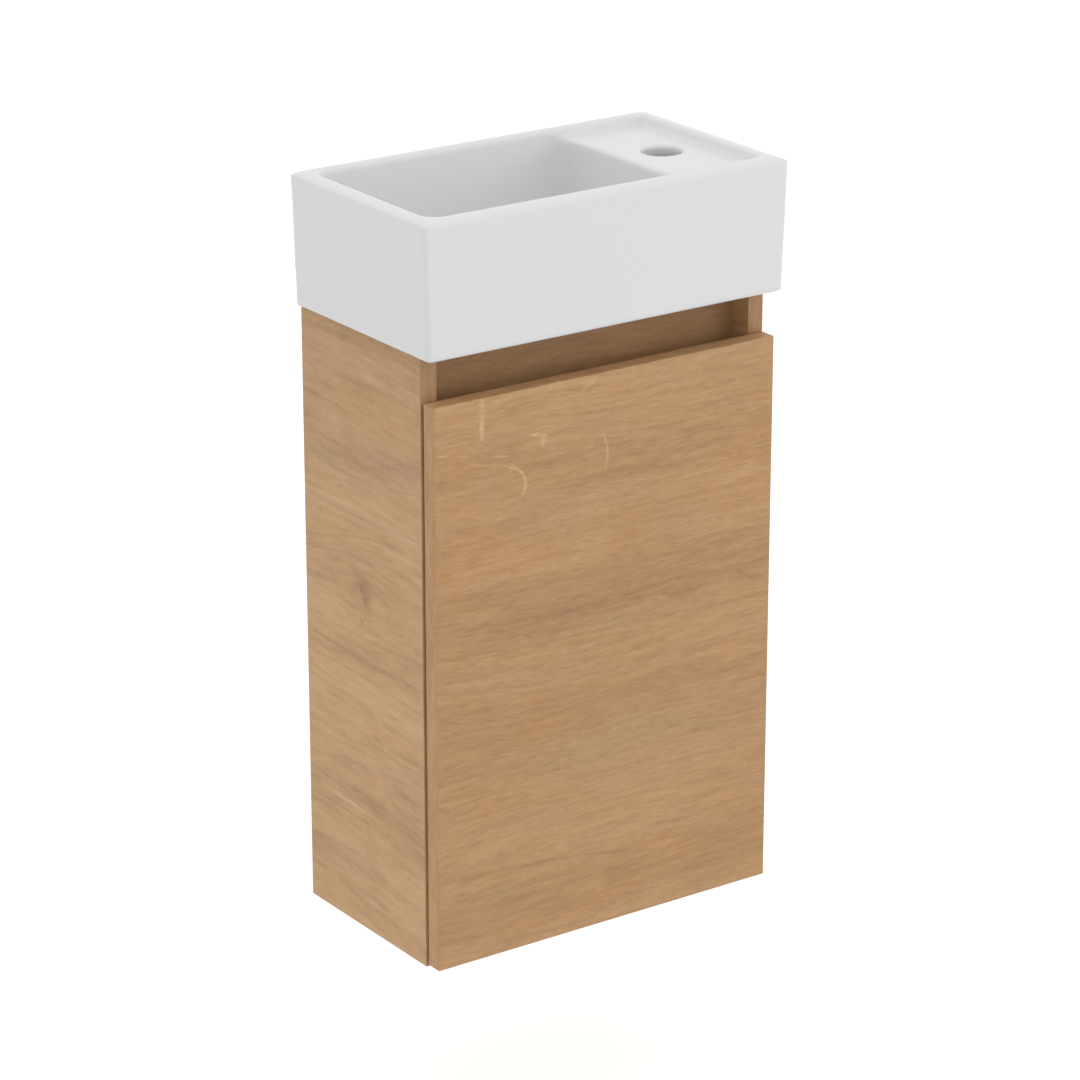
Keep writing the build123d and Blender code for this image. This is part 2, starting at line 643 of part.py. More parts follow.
for level, hinge_z in hinge_levels.items():
    with BuildPart() as hinge_cup:
        with BuildSketch(Plane.XZ.offset(-door_back_y)):
            with Locations((cup_x, hinge_z)):
                Circle(cup_diameter / 2)
        extrude(amount=cup_depth)
        with BuildSketch(Plane.XZ.offset(-door_back_y)):
            flange_left = cup_screw_x - flange_margin
            flange_right = cup_x + cup_diameter / 2 - cup_wall
            with Locations(((flange_left + flange_right) / 2, hinge_z)):
                RectangleRounded(flange_right - flange_left, cup_screw_spacing + 2 * flange_end, flange_radius)
        extrude(amount=-flange_thickness)
        with BuildSketch(Plane.XZ.offset(-door_back_y - flange_thickness)):
            with Locations((cup_x, hinge_z)):
                Circle(cup_diameter / 2 - cup_wall)
            with Locations((cup_x + cup_diameter / 2 - lug_length / 2, hinge_z)):
                with GridLocations(0, lug_spacing, 1, 2):
                    Rectangle(lug_length, lug_thickness, mode=Mode.SUBTRACT)
        extrude(amount=cup_depth + flange_thickness - cup_wall, mode=Mode.SUBTRACT)
        with BuildSketch(Plane.XZ.offset(-door_back_y - flange_thickness)):
            with Locations((cup_screw_x, hinge_z)):
                with GridLocations(0, cup_screw_spacing, 1, 2):
                    Circle(screw_diameter / 2 + fit)
        extrude(amount=flange_thickness, mode=Mode.SUBTRACT)
        with BuildSketch(Plane.XY.offset(hinge_z - pin_length / 2 - fit)):
            with Locations(cup_pivot):
                Circle(pin_diameter / 2 + fit)
            with Locations(inner_cup_pivot):
                SlotOverall(open_slot_height, open_slot_width, rotation=90)
        extrude(amount=pin_length + 2 * fit, mode=Mode.SUBTRACT)
    hinge_cup.part.label = f"hinge_cup_{level}"
    export_step(hinge_cup.part, f"parts/hinge_cup_{level}.step")

    with BuildPart() as outer_link:
        for start in (-outer_link_width / 2, fork_start):
            with BuildSketch(Plane.XY.offset(hinge_z + start)):
                link_outline(outer_link_points)
            extrude(amount=outer_link_width / 2 - fork_start)
        with BuildSketch(Plane.XY.offset(hinge_z - fork_start)):
            with Locations(spacer_at):
                Circle(link_thickness)
        extrude(amount=2 * fork_start)
    outer_link.part.label = f"outer_link_{level}"
    export_step(outer_link.part, f"parts/outer_link_{level}.step")

    with BuildPart() as inner_link:
        with BuildSketch(Plane.XY.offset(hinge_z - inner_link_width / 2)):
            link_outline(inner_link_points)
        extrude(amount=inner_link_width)
    inner_link.part.label = f"inner_link_{level}"
    export_step(inner_link.part, f"parts/inner_link_{level}.step")

    with BuildPart() as hinge_arm:
        arm_left = half_inner - arm_reach
        arm_right = arm_pivot[0] + arm_lip - arm_nose / 2
        arm_front = arm_pivot[1] - arm_nose
        with BuildSketch(Plane.XY.offset(hinge_z - arm_width / 2)):
            with Locations(((arm_left + arm_right) / 2, arm_front + arm_length / 2)):
                Rectangle(arm_right - arm_left, arm_length)
        extrude(amount=arm_width)
        fillet(hinge_arm.edges().filter_by(Axis.Z), arm_wall)
        with BuildSketch(Plane.XY.offset(hinge_z - arm_width / 2 + arm_wall)):
            with Locations(((arm_left + arm_wall + half_inner) / 2, arm_front + arm_length / 2)):
                Rectangle(half_inner - arm_left - arm_wall, arm_length)
        extrude(amount=arm_width - 2 * arm_wall, mode=Mode.SUBTRACT)
        with BuildSketch(Plane.XY.offset(hinge_z - arm_width / 2)):
            with Locations(arm_pivot, inner_pivot):
                Circle(pin_diameter / 2 + fit)
        extrude(amount=arm_width, mode=Mode.SUBTRACT)
        drill_inwards(arm_left, [(plate_y - adjuster_pitch / 2, hinge_z), (plate_y + adjuster_pitch / 2, hinge_z)],
                      adjuster_diameter / 2 + fit, arm_wall)
    hinge_arm.part.label = f"hinge_arm_{level}"
    export_step(hinge_arm.part, f"parts/hinge_arm_{level}.step")

    with BuildPart() as hinge_plate:
        with BuildSketch(Plane.YZ.offset(half_inner)):
            with Locations((plate_y, hinge_z)):
                Rectangle(plate_length, plate_width)
                RectangleRounded(wing_length, wing_height, wing_radius)
        extrude(amount=-plate_thickness)
        with BuildSketch(Plane.YZ.offset(half_inner - plate_thickness)):
            with Locations((plate_y, hinge_z)):
                Rectangle(block_length, arm_width - 2 * arm_wall - 2 * block_room)
        extrude(amount=-(arm_reach - arm_wall - plate_thickness))
        drill_inwards(half_inner, [(plate_y, hinge_z - plate_screw_spacing / 2),
                                   (plate_y, hinge_z + plate_screw_spacing / 2)],
                      screw_diameter / 2 + fit, -plate_thickness)
        drill_inwards(arm_left + arm_wall, [(plate_y - adjuster_pitch / 2, hinge_z),
                                            (plate_y + adjuster_pitch / 2, hinge_z)],
                      adjuster_diameter / 2 + fit, adjuster_length)
    hinge_plate.part.label = f"hinge_plate_{level}"
    export_step(hinge_plate.part, f"parts/hinge_plate_{level}.step")

    with BuildPart() as closing_spring:
        seat_y = plate_y - block_length / 2 - spring_thickness / 2
        eye_y = inner_pivot[1] + eye_diameter / 2 + spring_room + spring_thickness / 2
        spring_left = arm_left + arm_wall + spring_room + spring_thickness / 2
        with BuildSketch(Plane.XY.offset(hinge_z - spring_width / 2)):
            with BuildLine() as leaf:
                FilletPolyline(
                    (spring_left + spring_length, seat_y),
                    (spring_left, seat_y),
                    (spring_left, eye_y),
                    (spring_left + spring_length, eye_y),
                    radius=spring_bend,
                )
            trace(leaf.line, line_width=spring_thickness)
        extrude(amount=spring_width)
    closing_spring.part.label = f"closing_spring_{level}"
    export_step(closing_spring.part, f"parts/closing_spring_{level}.step")

# Hinge pins: both through the arm, stubs in the cup's lugs, and the inner links' free pins
with BuildPart() as arm_pins:
    for hinge_z in hinge_levels.values():
        with BuildSketch(Plane.XY.offset(hinge_z - pin_length / 2)):
            with Locations(arm_pivot, inner_pivot):
                Circle(pin_diameter / 2)
        extrude(amount=pin_length)
arm_pins.part.label = "arm_pins"
export_step(arm_pins.part, "parts/arm_pins.step")

with BuildPart() as cup_pins:
    for hinge_z in hinge_levels.values():
        for start in (-pin_length / 2, fork_start):
            with BuildSketch(Plane.XY.offset(hinge_z + start)):
                with Locations(cup_pivot):
                    Circle(pin_diameter / 2)
            extrude(amount=pin_length / 2 - fork_start)
cup_pins.part.label = "cup_pins"
export_step(cup_pins.part, "parts/cup_pins.step")

with BuildPart() as link_pins:
    for hinge_z in hinge_levels.values():
        with BuildSketch(Plane.XY.offset(hinge_z - pin_length / 2)):
            with Locations(inner_link_end):
                Circle(pin_diameter / 2)
        extrude(amount=pin_length)
link_pins.part.label = "link_pins"
export_step(link_pins.part, "parts/link_pins.step")

# Hinge screws
with BuildPart() as plate_screws:
    for start, stop, diameter in (
        (plate_thickness - screw_length, plate_thickness, screw_diameter),
        (plate_thickness, plate_thickness + screw_head_height, screw_head_diameter),
    ):
        with BuildSketch(Plane.YZ.offset(half_inner - start)):
            with Locations(*plate_screws_at):
                Circle(diameter / 2)
        extrude(amount=start - stop)
plate_screws.part.label = "plate_screws"
export_step(plate_screws.part, "parts/plate_screws.step")

with BuildPart() as cup_screws:
    cup_screws_at = [(cup_screw_x, hinge_z + end * cup_screw_spacing / 2)
                     for hinge_z in hinge_levels.values() for end in (-1, 1)]
    with BuildSketch(Plane.XZ.offset(-door_back_y - flange_thickness)):
        with Locations(*cup_screws_at):
            Circle(screw_diameter / 2)
    extrude(amount=screw_length)
    with BuildSketch(Plane.XZ.offset(-door_back_y - flange_thickness)):
        with Locations(*cup_screws_at):
            Circle(screw_head_diameter / 2)
    extrude(amount=-screw_head_height)
cup_screws.part.label = "cup_screws"
export_step(cup_screws.part, "parts/cup_screws.step")

with BuildPart() as arm_screws:
    arm_screws_at = [(plate_y + end * adjuster_pitch / 2, hinge_z)
                     for hinge_z in hinge_levels.values() for end in (-1, 1)]
    with BuildSketch(Plane.YZ.offset(arm_left)):
        with Locations(*arm_screws_at):
            Circle(adjuster_diameter / 2)
    extrude(amount=arm_wall + adjuster_length - fit)
    with BuildSketch(Plane.YZ.offset(arm_left)):
        with Locations(*arm_screws_at):
            Circle(adjuster_head_diameter / 2)
    extrude(amount=-adjuster_head_height)
arm_screws.part.label = "arm_screws"
export_step(arm_screws.part, "parts/arm_screws.step")
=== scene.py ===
import json
import math

import bmesh
import bpy
import numpy as np
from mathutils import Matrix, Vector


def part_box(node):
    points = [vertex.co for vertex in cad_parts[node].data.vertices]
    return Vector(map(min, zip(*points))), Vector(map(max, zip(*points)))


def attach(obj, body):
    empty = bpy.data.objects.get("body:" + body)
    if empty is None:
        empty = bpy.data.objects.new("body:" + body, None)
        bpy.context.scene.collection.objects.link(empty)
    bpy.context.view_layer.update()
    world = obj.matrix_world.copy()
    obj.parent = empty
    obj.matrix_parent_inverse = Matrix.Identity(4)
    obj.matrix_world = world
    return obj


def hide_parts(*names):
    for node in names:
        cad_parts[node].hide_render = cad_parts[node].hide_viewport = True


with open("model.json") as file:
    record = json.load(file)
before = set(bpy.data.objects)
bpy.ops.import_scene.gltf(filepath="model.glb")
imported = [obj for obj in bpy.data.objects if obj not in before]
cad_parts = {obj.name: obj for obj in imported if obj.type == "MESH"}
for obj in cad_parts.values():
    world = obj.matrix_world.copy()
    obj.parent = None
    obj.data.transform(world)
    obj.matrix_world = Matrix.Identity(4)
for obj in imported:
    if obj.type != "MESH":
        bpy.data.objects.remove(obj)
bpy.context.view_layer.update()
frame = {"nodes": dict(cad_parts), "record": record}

# A wall-hung vanity: a glazed ceramic basin on an oak cabinet with one door.
# Metres. X runs right, Y back to the wall, Z up, as in the frame.
nodes = frame["nodes"]
bodyOfNode = {n: body for body, group in frame["record"]["behaviour"]["bodies"].items() for n in group}


def boxOf(node):
    low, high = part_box(node)
    return np.array(low), np.array(high)


# Camera, solved from the straight edges of the basin and the cabinet
camera = {
    "place": (-1.9744, -2.8183, 1.5853),
    "turn": (69.99, 0.0, -35.0),
    "lens": 139.08,
    "sensor": 36.0,
}
cameraData = bpy.data.cameras.new("camera")
cameraData.lens = camera["lens"]
cameraData.sensor_width = camera["sensor"]
cameraData.clip_end = 100.0
cameraObject = bpy.data.objects.new("camera", cameraData)
cameraObject.location = camera["place"]
cameraObject.rotation_euler = [math.radians(angle) for angle in camera["turn"]]
bpy.context.scene.collection.objects.link(cameraObject)
bpy.context.scene.camera = cameraObject
bpy.context.scene.view_settings.view_transform = "Standard"


# Shader helpers
# Adds a node; an input that is a socket gets a link, any other value is set
def put(tree, kind, inputs=None, **settings):
    node = tree.nodes.new(kind)
    for name, value in settings.items():
        setattr(node, name, value)
    for name, value in (inputs or {}).items():
        if isinstance(value, bpy.types.NodeSocket):
            tree.links.new(value, node.inputs[name])
        else:
            node.inputs[name].default_value = value
    return node


def maths(tree, operation, a, b=0.0, clamp=False):
    return put(tree, "ShaderNodeMath", {0: a, 1: b}, operation=operation, use_clamp=clamp).outputs[0]


def mixColour(tree, factor, a, b, blend="MIX"):
    node = put(tree, "ShaderNodeMix", {"Factor": factor}, data_type="RGBA", blend_type=blend)
    for socket, value in (("A_Color", a), ("B_Color", b)):
        target = next(i for i in node.inputs if i.identifier == socket)
        if isinstance(value, bpy.types.NodeSocket):
            tree.links.new(value, target)
        else:
            target.default_value = (*value[:3], 1.0)
    return next(o for o in node.outputs if o.identifier == "Result_Color")


# Straight-line remap of value from low..high to outLow..outHigh, clamped
def ramp(tree, value, low, high, outLow=0.0, outHigh=1.0):
    node = put(tree, "ShaderNodeMapRange",
               {"Value": value, "From Min": low, "From Max": high, "To Min": outLow, "To Max": outHigh})
    return node.outputs[0]


# Noise at the point times the stretch, per metre along each axis; 0 to 1
def noise(tree, point, stretch, detail=2.0, roughness=0.5, distortion=0.0):
    scaled = put(tree, "ShaderNodeVectorMath", {0: point, 1: stretch}, operation="MULTIPLY").outputs[0]
    return put(tree, "ShaderNodeTexNoise",
               {"Vector": scaled, "Scale": 1.0, "Detail": detail, "Roughness": roughness,
                "Distortion": distortion}).outputs[0]


def newGroup(name, inputs, outputs):
    group = bpy.data.node_groups.new(name, "ShaderNodeTree")
    for socketName, kind, default in inputs:
        socket = group.interface.new_socket(socketName, in_out="INPUT", socket_type=kind)
        if default is not None:
            socket.default_value = default
    for socketName, kind in outputs:
        group.interface.new_socket(socketName, in_out="OUTPUT", socket_type=kind)
    return group, group.nodes.new("NodeGroupInput").outputs, group.nodes.new("NodeGroupOutput").inputs


# Shared effects as node groups
# A mark: the gap from the point to a bowed line from Start to End, faded from Core times the width out to the
# full width. The width narrows towards both ends by Taper. A broken mark is eaten away by a noise.
def makeMark():
    vector, number = "NodeSocketVector", "NodeSocketFloat"
    group, given, out = newGroup(
        "boardMark",
        [("Point", vector, None), ("Start", vector, None), ("End", vector, None), ("Bow", number, 0.0),
         ("Width", number, 0.002), ("Core", number, 0.3), ("Taper", number, 0.5), ("Broken", number, 0.0),
         ("Strength", number, 1.0)],
        [("Mask", number)],
    )
    span = put(group, "ShaderNodeVectorMath", {0: given["End"], 1: given["Start"]}, operation="SUBTRACT").outputs[0]
    reach = put(group, "ShaderNodeVectorMath", {0: given["Point"], 1: given["Start"]},
                operation="SUBTRACT").outputs[0]
    dot = put(group, "ShaderNodeVectorMath", {0: reach, 1: span}, operation="DOT_PRODUCT").outputs["Value"]
    size = put(group, "ShaderNodeVectorMath", {0: span, 1: span}, operation="DOT_PRODUCT").outputs["Value"]
    along = maths(group, "DIVIDE", dot, size, clamp=True)
    arch = maths(group, "MULTIPLY", maths(group, "MULTIPLY", along, maths(group, "SUBTRACT", 1.0, along)), 4.0)
    aside = put(group, "ShaderNodeVectorMath", {0: span, 1: (0, 0, 1)}, operation="CROSS_PRODUCT").outputs[0]
    aside = put(group, "ShaderNodeVectorMath", {0: aside}, operation="NORMALIZE").outputs[0]
    lift = put(group, "ShaderNodeVectorMath", {0: aside, "Scale": maths(group, "MULTIPLY", arch, given["Bow"])},
               operation="SCALE").outputs[0]
    foot = put(group, "ShaderNodeVectorMath", {0: span, "Scale": along}, operation="SCALE").outputs[0]
    foot = put(group, "ShaderNodeVectorMath", {0: foot, 1: given["Start"]}, operation="ADD").outputs[0]
    foot = put(group, "ShaderNodeVectorMath", {0: foot, 1: lift}, operation="ADD").outputs[0]
    gap = put(group, "ShaderNodeVectorMath", {0: given["Point"], 1: foot}, operation="DISTANCE").outputs["Value"]
    narrow = maths(group, "SUBTRACT", 1.0, maths(group, "MULTIPLY", given["Taper"], maths(group, "SUBTRACT", 1.0, arch)))
    width = maths(group, "MULTIPLY", given["Width"], narrow)
    fade = put(group, "ShaderNodeMapRange",
               {"Value": gap, "From Min": maths(group, "MULTIPLY", width, given["Core"]), "From Max": width,
                "To Min": 1.0, "To Max": 0.0}, interpolation_type="SMOOTHSTEP").outputs[0]
    eaten = noise(group, given["Point"], (70.0, 260.0, 30.0), detail=3.0, roughness=0.65)
    eaten = maths(group, "MULTIPLY", ramp(group, eaten, 0.42, 0.60), given["Broken"])
    left = maths(group, "MULTIPLY", fade, maths(group, "SUBTRACT", 1.0, eaten))
    group.links.new(maths(group, "MULTIPLY", left, given["Strength"]), out["Mask"])
    return group


# Oak veneer: x runs along the grain and y across it. The across coordinate is tilted by Slope, bent by a slow
# noise and pushed apart round a knot. Noises stretched along the grain make bands, flakes and fibres; one cut
# at a threshold makes pores, and a round one shifts the hue.
def makeOakFigure():
    vector, number, colour = "NodeSocketVector", "NodeSocketFloat", "NodeSocketColor"
    group, given, out = newGroup(
        "oakFigure",
        [("Point", vector, None), ("Slope", number, 0.0), ("Wander", number, 0.03), ("Seed", number, 0.0),
         ("Knot", vector, (0, 0, -9)), ("Knot Size", number, 0.0),
         ("Base", colour, (0.5, 0.3, 0.15, 1)), ("Light", colour, (0.6, 0.4, 0.2, 1)),
         ("Dark", colour, (0.4, 0.2, 0.1, 1)), ("Warm", colour, (0.6, 0.3, 0.12, 1)),
         ("Cool", colour, (0.45, 0.3, 0.15, 1)),
         ("Bands", number, 1.0), ("Flakes", number, 1.0), ("Streaks", number, 1.0), ("Fibres", number, 1.0), ("Pores", number, 1.0)],
        [("Color", colour), ("Height", number), ("Roughness", number)],
    )
    seedVector = put(group, "ShaderNodeCombineXYZ", {0: given["Seed"], 1: given["Seed"], 2: given["Seed"]})
    moved = put(group, "ShaderNodeVectorMath", {0: given["Point"], 1: seedVector.outputs[0]},
                operation="ADD").outputs[0]
    split = put(group, "ShaderNodeSeparateXYZ", {0: moved}).outputs
    slow = noise(group, moved, (3.6, 7.0, 4.0), detail=1.5)
    bend = maths(group, "MULTIPLY", maths(group, "SUBTRACT", slow, 0.5), given["Wander"])
    offset = put(group, "ShaderNodeVectorMath", {0: given["Point"], 1: given["Knot"]}, operation="SUBTRACT").outputs[0]
    offset = put(group, "ShaderNodeVectorMath", {0: offset, 1: (0.6, 1.0, 4.0)}, operation="MULTIPLY").outputs[0]
    far = put(group, "ShaderNodeVectorMath", {0: offset}, operation="LENGTH").outputs["Value"]
    knotArea = maths(group, "MULTIPLY", given["Knot Size"], given["Knot Size"])
    reach = maths(group, "ADD", maths(group, "MULTIPLY", far, far), maths(group, "ADD", knotArea, 0.000001))
    nearKnot = maths(group, "MULTIPLY", maths(group, "DIVIDE", knotArea, reach), 0.93)
    rise = put(group, "ShaderNodeSeparateXYZ", {0: offset}).outputs[1]
    across = maths(group, "ADD", maths(group, "MULTIPLY", split[0], given["Slope"]), bend)
    across = maths(group, "ADD", across, split[1])
    across = maths(group, "SUBTRACT", across, maths(group, "MULTIPLY", rise, nearKnot))
    flow = put(group, "ShaderNodeCombineXYZ", {0: split[0], 1: across, 2: split[2]}).outputs[0]
    bands = noise(group, flow, (2.2, 26.0, 6.0), detail=2.0)
    flakes = noise(group, flow, (26.0, 110.0, 30.0), detail=2.0, roughness=0.6)
    streaks = noise(group, flow, (12.0, 205.0, 60.0), detail=2.0, roughness=0.6)
    fibres = noise(group, flow, (75.0, 470.0, 120.0), detail=2.0, roughness=0.6)
    poreNoise = noise(group, flow, (110.0, 1200.0, 300.0), detail=1.0)
    warmth = noise(group, moved, (9.0, 17.0, 11.0), detail=3.0, roughness=0.6)
    coolness = noise(group, flow, (12.0, 34.0, 17.0), detail=3.0, roughness=0.6)
    tone = 0.0
    for layer, weight in ((bands, "Bands"), (flakes, "Flakes"), (streaks, "Streaks"), (fibres, "Fibres")):
        part = maths(group, "MULTIPLY", maths(group, "SUBTRACT", layer, 0.5), given[weight])
        tone = maths(group, "ADD", part, tone)
    colourNow = mixColour(group, ramp(group, warmth, 0.48, 0.72, 0.0, 0.5), given["Base"], given["Warm"])
    colourNow = mixColour(group, ramp(group, coolness, 0.48, 0.72, 0.0, 0.55), colourNow, given["Cool"])
    colourNow = mixColour(group, maths(group, "MULTIPLY", tone, 2.2, clamp=True), colourNow, given["Light"])
    colourNow = mixColour(group, maths(group, "MULTIPLY", tone, -2.2, clamp=True), colourNow, given["Dark"])
    pores = maths(group, "MULTIPLY", ramp(group, poreNoise, 0.58, 0.72), given["Pores"])
    colourNow = mixColour(group, maths(group, "MULTIPLY", pores, 0.30), colourNow, given["Dark"])
    height = maths(group, "SUBTRACT", maths(group, "MULTIPLY", fibres, 0.6), pores)
    group.links.new(colourNow, out["Color"])
    group.links.new(height, out["Height"])
    group.links.new(ramp(group, fibres, 0.3, 0.7, 0.56, 0.46), out["Roughness"])
    return group


boardMark = makeMark()
oakFigure = makeOakFigure()


def newMaterial(name):
    material = bpy.data.materials.new(name)
    material.use_nodes = True
    tree = material.node_tree
    tree.nodes.clear()
    surface = tree.nodes.new("ShaderNodeBsdfPrincipled")
    out = tree.nodes.new("ShaderNodeOutputMaterial")
    tree.links.new(surface.outputs[0], out.inputs[0])
    return material, tree, surface


def setSurface(tree, surface, **values):
    names = {"base": "Base Color", "roughness": "Roughness", "metallic": "Metallic", "coat": "Coat Weight",
             "coatRoughness": "Coat Roughness", "ior": "IOR", "specular": "Specular IOR Level",
             "normal": "Normal"}
    for key, value in values.items():
        socket = surface.inputs[names[key]]
        if isinstance(value, bpy.types.NodeSocket):
            tree.links.new(value, socket)
        elif key == "base":
            socket.default_value = (*value[:3], 1.0)
        else:
            socket.default_value = value


def objectPoint(tree):
    return tree.nodes.new("ShaderNodeTexCoord").outputs["Object"]


def bump(tree, height, distance, strength=1.0):
    return put(tree, "ShaderNodeBump", {"Height": height, "Distance": distance, "Strength": strength}).outputs[0]


# Oak boards. Colours are linear; a mark is from, to, bow, width, core, taper, broken, strength in millimetres,
# placed on the board's outer face as (along the grain, across the grain).
oak = {
    # painted shade: the rail's oak is the door's oak darkened to about three quarters, standing for the shade in the
    # recess behind the door's top
    "rail": {
        "base": (0.400, 0.232, 0.112), "light": (0.49, 0.30, 0.160), "dark": (0.30, 0.160, 0.072),
        "warm": (0.43, 0.236, 0.104), "cool": (0.385, 0.236, 0.122),
        "slope": 0.0, "wander": 0.03, "bands": 0.45, "flakes": 0.44, "streaks": 0.62, "fibres": 0.52,
        "pores": 1.0,
    },
    "door": {
        "base": (0.527, 0.301, 0.142), "light": (0.648, 0.398, 0.207), "dark": (0.385, 0.205, 0.092),
        "warm": (0.555, 0.304, 0.134), "cool": (0.500, 0.304, 0.158),
        "slope": 0.0, "wander": 0.03, "bands": 0.45, "flakes": 0.44, "streaks": 0.62, "fibres": 0.52,
        "pores": 1.0,
    },
    "side": {
        "base": (0.595, 0.364, 0.178), "light": (0.71, 0.457, 0.250), "dark": (0.43, 0.25, 0.120),
        "warm": (0.620, 0.362, 0.172), "cool": (0.565, 0.370, 0.180),
        "slope": 0.0, "wander": 0.05, "bands": 0.95, "flakes": 0.70, "streaks": 0.62, "fibres": 0.34,
        "pores": 0.7,
    },
}
# A mark tints the figure under it by these factors. The grain's tints are the oak's own; shade is painted shade, not a
# tone of the wood
markTints = {
    "pale": (1.38, 1.60, 1.85), "straw": (1.12, 1.17, 1.20), "amber": (1.10, 1.01, 0.90),
    "umber": (0.72, 0.69, 0.68), "ash": (0.95, 1.05, 1.18), "mauve": (0.86, 0.78, 0.88),
    "olive": (0.89, 0.95, 0.92), "knot": (0.50, 0.44, 0.42), "rose": (1.06, 1.04, 1.16),
    # painted shade: darkens where it lies
    "shade": (0.84, 0.83, 0.82),
}
# Painted shade on the front edge bands of the side panels, which lie under the basin's overhang; the right band is
# painted darker than the left
paintedBandShades = {"left": (0.80, 0.78, 0.80), "right": (0.72, 0.66, 0.65)}
doorMarks = [
    # broad soft zones
    ("straw", (-190, 505), (190, 500), 0, 44, 0.0, 0.0, 0.45, 0.50),
    ("amber", (-210, 364), (-50, 362), 0, 16, 0.0, 0.5, 0.4, 0.60),
    ("straw", (-60, 395), (160, 400), 4, 22, 0.0, 0.7, 0.5, 0.35),
    ("umber", (-120, 302), (260, 308), -4, 48, 0.0, 0.7, 0.3, 0.34),
    ("umber", (-230, 318), (0, 302), 0, 34, 0.0, 0.7, 0.35, 0.22),
    ("ash", (-60, 172), (200, 164), 0, 66, 0.0, 0.6, 0.45, 0.62),
    ("ash", (-110, 184), (0, 170), 0, 32, 0.0, 0.7, 0.5, 0.32),
    ("olive", (-240, 58), (60, 50), 0, 30, 0.0, 0.6, 0.35, 0.66),
    ("olive", (90, 33), (230, 30), 0, 22, 0.0, 0.6, 0.3, 0.80),
    ("straw", (-180, 112), (170, 104), 0, 34, 0.0, 0.6, 0.45, 0.45),
    # long lines of the figure
    ("umber", (-180, 84), (34, 64), -4, 3.4, 0.0, 0.6, 0.7, 0.42),
    ("umber", (-40, 418), (80, 413), -3, 12, 0.0, 0.8, 0.4, 0.40),
    ("straw", (-20, 406), (94, 407), -2, 3.4, 0.0, 0.8, 0.6, 0.60),
    ("umber", (-75, 306), (66, 310), 1.5, 3.0, 0.0, 0.4, 0.55, 0.42),
    ("umber", (-75, 304), (66, 299), -2.5, 3.0, 0.0, 0.4, 0.55, 0.42),
    ("umber", (-150, 309), (-88, 334), 5, 3.0, 0.0, 0.4, 0.5, 0.30),
    ("umber", (-148, 306), (-80, 290), -5, 3.0, 0.0, 0.4, 0.5, 0.38),
    ("umber", (-180, 340), (150, 336), 3, 2.6, 0.0, 0.4, 0.6, 0.26),
    ("umber", (-180, 282), (180, 274), -3, 2.8, 0.0, 0.4, 0.6, 0.28),
    ("umber", (-110, 392), (190, 386), 3, 2.4, 0.0, 0.4, 0.7, 0.22),
    ("umber", (-180, 232), (120, 226), 2, 2.4, 0.0, 0.4, 0.7, 0.22),
    ("ash", (-34, 290), (54, 284), 0, 9, 0.0, 0.8, 0.3, 0.70),
    ("knot", (140, 306), (170, 292), 3, 6, 0.0, 0.7, 0.3, 0.26),
    ("umber", (56, 303), (98, 295), 2, 11, 0.0, 0.8, 0.4, 0.45),
    ("umber", (-176, 446), (-166, 444), 0, 7, 0.0, 0.5, 0.3, 0.45),
    ("umber", (-176, 155), (-166, 150), 0, 7, 0.0, 0.5, 0.3, 0.50),
    # pale flecks of the rays
    ("pale", (-129.3, 514), (-129.3, 487), 0, 5.5, 0.0, 0.5, 0.4, 0.45),
    ("pale", (-129.6, 492), (-129.0, 477), 0.6, 4.0, 0.1, 0.5, 0.1, 0.62),
    ("pale", (-79.5, 472), (-62, 468), 0, 3.6, 0.1, 0.5, 0.1, 0.58),
    ("pale", (-66.5, 469), (-67.6, 461), 0, 4.2, 0.0, 0.5, 0.1, 0.45),
    ("pale", (-5.1, 458), (-2.9, 428), -3.4, 2.2, 0.2, 0.5, 0.1, 0.55),
    ("pale", (-103, 448), (-88.6, 440.2), -1.2, 2.4, 0.2, 0.6, 0.1, 0.66),
    ("pale", (-89.6, 441.2), (-87.7, 421), -3.0, 2.6, 0.2, 0.5, 0.1, 0.62),
    ("pale", (-176.1, 471.9), (-164.3, 469.6), 0, 1.6, 0.0, 0.6, 0.0, 0.52),
    ("pale", (-153.8, 467.5), (-141.9, 465.2), 0, 1.6, 0.0, 0.6, 0.0, 0.45),
    ("pale", (-118.2, 460.5), (-101.4, 457.3), 0, 1.8, 0.0, 0.6, 0.0, 0.55),
    ("pale", (-140.8, 457.1), (-103.8, 449.4), 0, 1.8, 0.0, 0.7, 0.4, 0.50),
    ("ash", (-127, 443), (-126, 425), 0, 12, 0.0, 0.3, 0.3, 0.65),
    ("ash", (-62, 460), (-58, 450), 0, 10, 0.0, 0.3, 0.3, 0.50),
    ("straw", (-62, 508), (-46, 513), 0, 6, 0.0, 0.5, 0.4, 0.70),
    ("straw", (-27, 502), (-12, 511), 0, 5, 0.0, 0.5, 0.4, 0.70),
]
